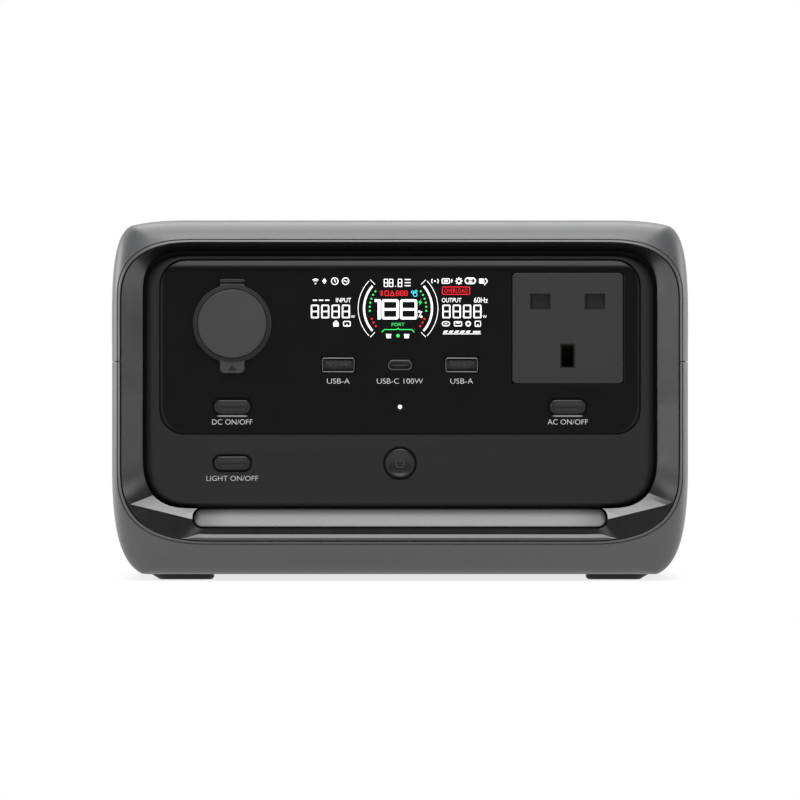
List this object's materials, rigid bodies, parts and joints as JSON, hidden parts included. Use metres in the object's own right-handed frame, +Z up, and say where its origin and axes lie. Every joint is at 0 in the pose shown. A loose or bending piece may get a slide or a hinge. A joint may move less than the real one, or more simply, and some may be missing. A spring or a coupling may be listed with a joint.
{
  "type": "portable power station",
  "caption": "Portable battery power station in a rounded dark grey case, with mains, car and USB outlets behind a ringed front panel, press buttons, a light bar and a folding handle",
  "frame": {"origin": "on the floor under the middle of the housing, level with the undersides of the feet", "axes": "+Z up, front panel facing -Y, +X to the right as seen from the front"},
  "size_m": [0.2344, 0.232, 0.1462],
  "materials": {
    "housing": "dark grey ABS with a fine satin grain",
    "trim": "smooth gunmetal plastic, semi-gloss",
    "carrier": "near-black matte plastic",
    "panel": "polished black panel",
    "lens": "frosted grey-white diffuser",
    "soft_rubber": "dark grey soft rubber",
    "button": "satin dark grey",
    "outlet": "satin dark grey",
    "inner_plastic": "plain black moulded plastic",
    "board": "green circuit board",
    "steel": "plain bright steel",
    "contact_brass": "bare brass",
    "aluminium": "extruded aluminium",
    "wrap": "blue shrink wrap"
  },
  "bodies": {
    "housing": {"upper_housing": "housing", "lower_housing": "housing", "front_trim_ring": "trim", "front_carrier": "carrier", "display_panel": "panel", "lcd_module": "panel", "light_bar_lens": "lens", "status_light_pipe": "lens", "dc_cap_anchor": "soft_rubber", "foot_front_left": "soft_rubber", "foot_front_right": "soft_rubber", "foot_rear_left": "soft_rubber", "foot_rear_right": "soft_rubber", "ac_outlet_face": "outlet", "ac_outlet_body": "inner_plastic", "switch_dc": "inner_plastic", "switch_ac": "inner_plastic", "switch_light": "inner_plastic", "switch_power": "inner_plastic", "vent_grille_left": "inner_plastic", "vent_grille_right": "inner_plastic", "fan_frame": "inner_plastic", "rear_port_plate": "inner_plastic", "ac_inlet": "inner_plastic", "light_bar_board": "board", "front_board": "board", "battery_board": "board", "inverter_board": "board", "dc_socket_barrel": "steel", "usb_a_port_left": "steel", "usb_a_port_right": "steel", "usb_c_port": "steel", "ac_shutter_spring": "steel", "dc_inlet": "steel", "handle_pin_left": "steel", "handle_pin_right": "steel", "housing_screw_1": "steel", "housing_screw_2": "steel", "housing_screw_3": "steel", "housing_screw_4": "steel", "dc_socket_contact": "contact_brass", "ac_contact_live": "contact_brass", "ac_contact_neutral": "contact_brass", "ac_contact_earth": "contact_brass", "heatsink": "aluminium", "battery_bank_left": "wrap", "battery_bank_right": "wrap", "transformer": "wrap"},
    "handle": {"handle_arm_left": "housing", "handle_arm_right": "housing", "handle_grip": "soft_rubber"},
    "dc_cap": {"dc_socket_cap": "soft_rubber"},
    "shutter": {"ac_shutter": "carrier"},
    "fan": {"fan_rotor": "inner_plastic"},
    "dc_key": {"button_dc": "button"},
    "ac_key": {"button_ac": "button"},
    "light_key": {"button_light": "button"},
    "power_key": {"button_power": "button"}
  },
  "joints": [
    {"name": "dc_press", "type": "slide", "parent": "housing", "child": "dc_key", "axis": [0, 1, 0], "range_m": [0, 0.0009], "stiffness_N_per_m": 800, "springref_m": -0.0005},
    {"name": "ac_press", "type": "slide", "parent": "housing", "child": "ac_key", "axis": [0, 1, 0], "range_m": [0, 0.0009], "stiffness_N_per_m": 800, "springref_m": -0.0005},
    {"name": "light_press", "type": "slide", "parent": "housing", "child": "light_key", "axis": [0, 1, 0], "range_m": [0, 0.0009], "stiffness_N_per_m": 800, "springref_m": -0.0005},
    {"name": "power_press", "type": "slide", "parent": "housing", "child": "power_key", "axis": [0, 1, 0], "range_m": [0, 0.0009], "stiffness_N_per_m": 800, "springref_m": -0.0005},
    {"name": "cap_swing", "type": "hinge", "parent": "housing", "child": "dc_cap", "pos_m": [-0.0681, -0.1134, 0.1206], "axis": [-1, 0, 0], "range_deg": [0, 100]},
    {"name": "shutter_lift", "type": "slide", "parent": "housing", "child": "shutter", "axis": [0, 0, 1], "range_m": [0, 0.0058], "stiffness_N_per_m": 150, "springref_m": -0.003, "deforming": ["ac_shutter_spring"]},
    {"name": "fan_spin", "type": "hinge", "parent": "housing", "child": "fan", "pos_m": [0.104, 0.055, 0.058], "axis": [1, 0, 0], "continuous": true},
    {"name": "handle_fold", "type": "hinge", "parent": "housing", "child": "handle", "pos_m": [0, 0.004, 0.1385], "axis": [1, 0, 0], "range_deg": [0, 90]}
  ]
}
